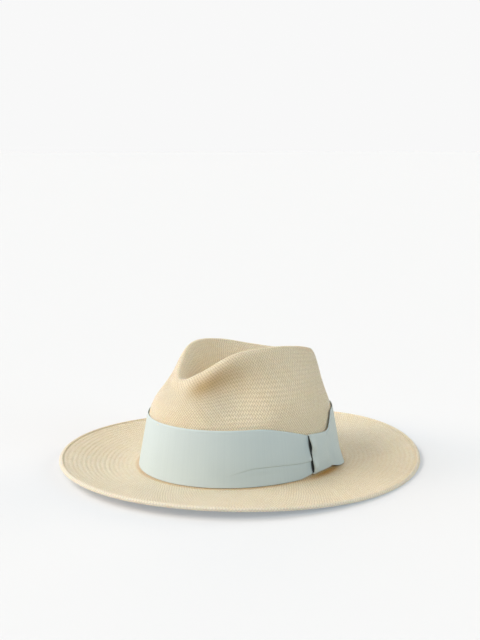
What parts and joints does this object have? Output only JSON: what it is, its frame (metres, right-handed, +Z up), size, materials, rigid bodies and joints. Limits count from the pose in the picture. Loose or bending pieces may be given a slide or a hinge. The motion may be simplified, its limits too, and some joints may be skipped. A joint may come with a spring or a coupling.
{
  "type": "straw sun hat",
  "caption": "Woven straw fedora sun hat with a creased crown, wide gently curled brim, broad pleated ribbon band and inner sweatband.",
  "frame": {"origin": "on the plane the hat rests on, under the middle of the brim", "axes": "+Z up through the crown, the wearer looks along -Y, the wearer's left (the side of the ribbon's keeper) is +X"},
  "size_m": [0.3286, 0.3587, 0.1174],
  "materials": {
    "straw": "natural cream straw, fine weave, matt with a slight fibre sheen",
    "ribbon": "pale duck-egg blue cotton grosgrain, matt",
    "thread": "cream sewing thread",
    "leather": "tan leather, semi-matt",
    "tab_cloth": "blank off-white woven tape",
    "wire": "thin spring wire"
  },
  "bodies": {
    "root": {"straw_body": "straw", "brim_wire": "wire", "hem_stitching": "thread", "hat_ribbon": "ribbon", "bow_keeper": "ribbon", "ribbon_tack_front": "thread", "ribbon_tack_back": "thread", "ribbon_tack_right": "thread", "sweatband": "leather", "sweatband_stitching": "thread", "sweatband_bow": "ribbon", "size_tab": "tab_cloth"}
  },
  "joints": []
}
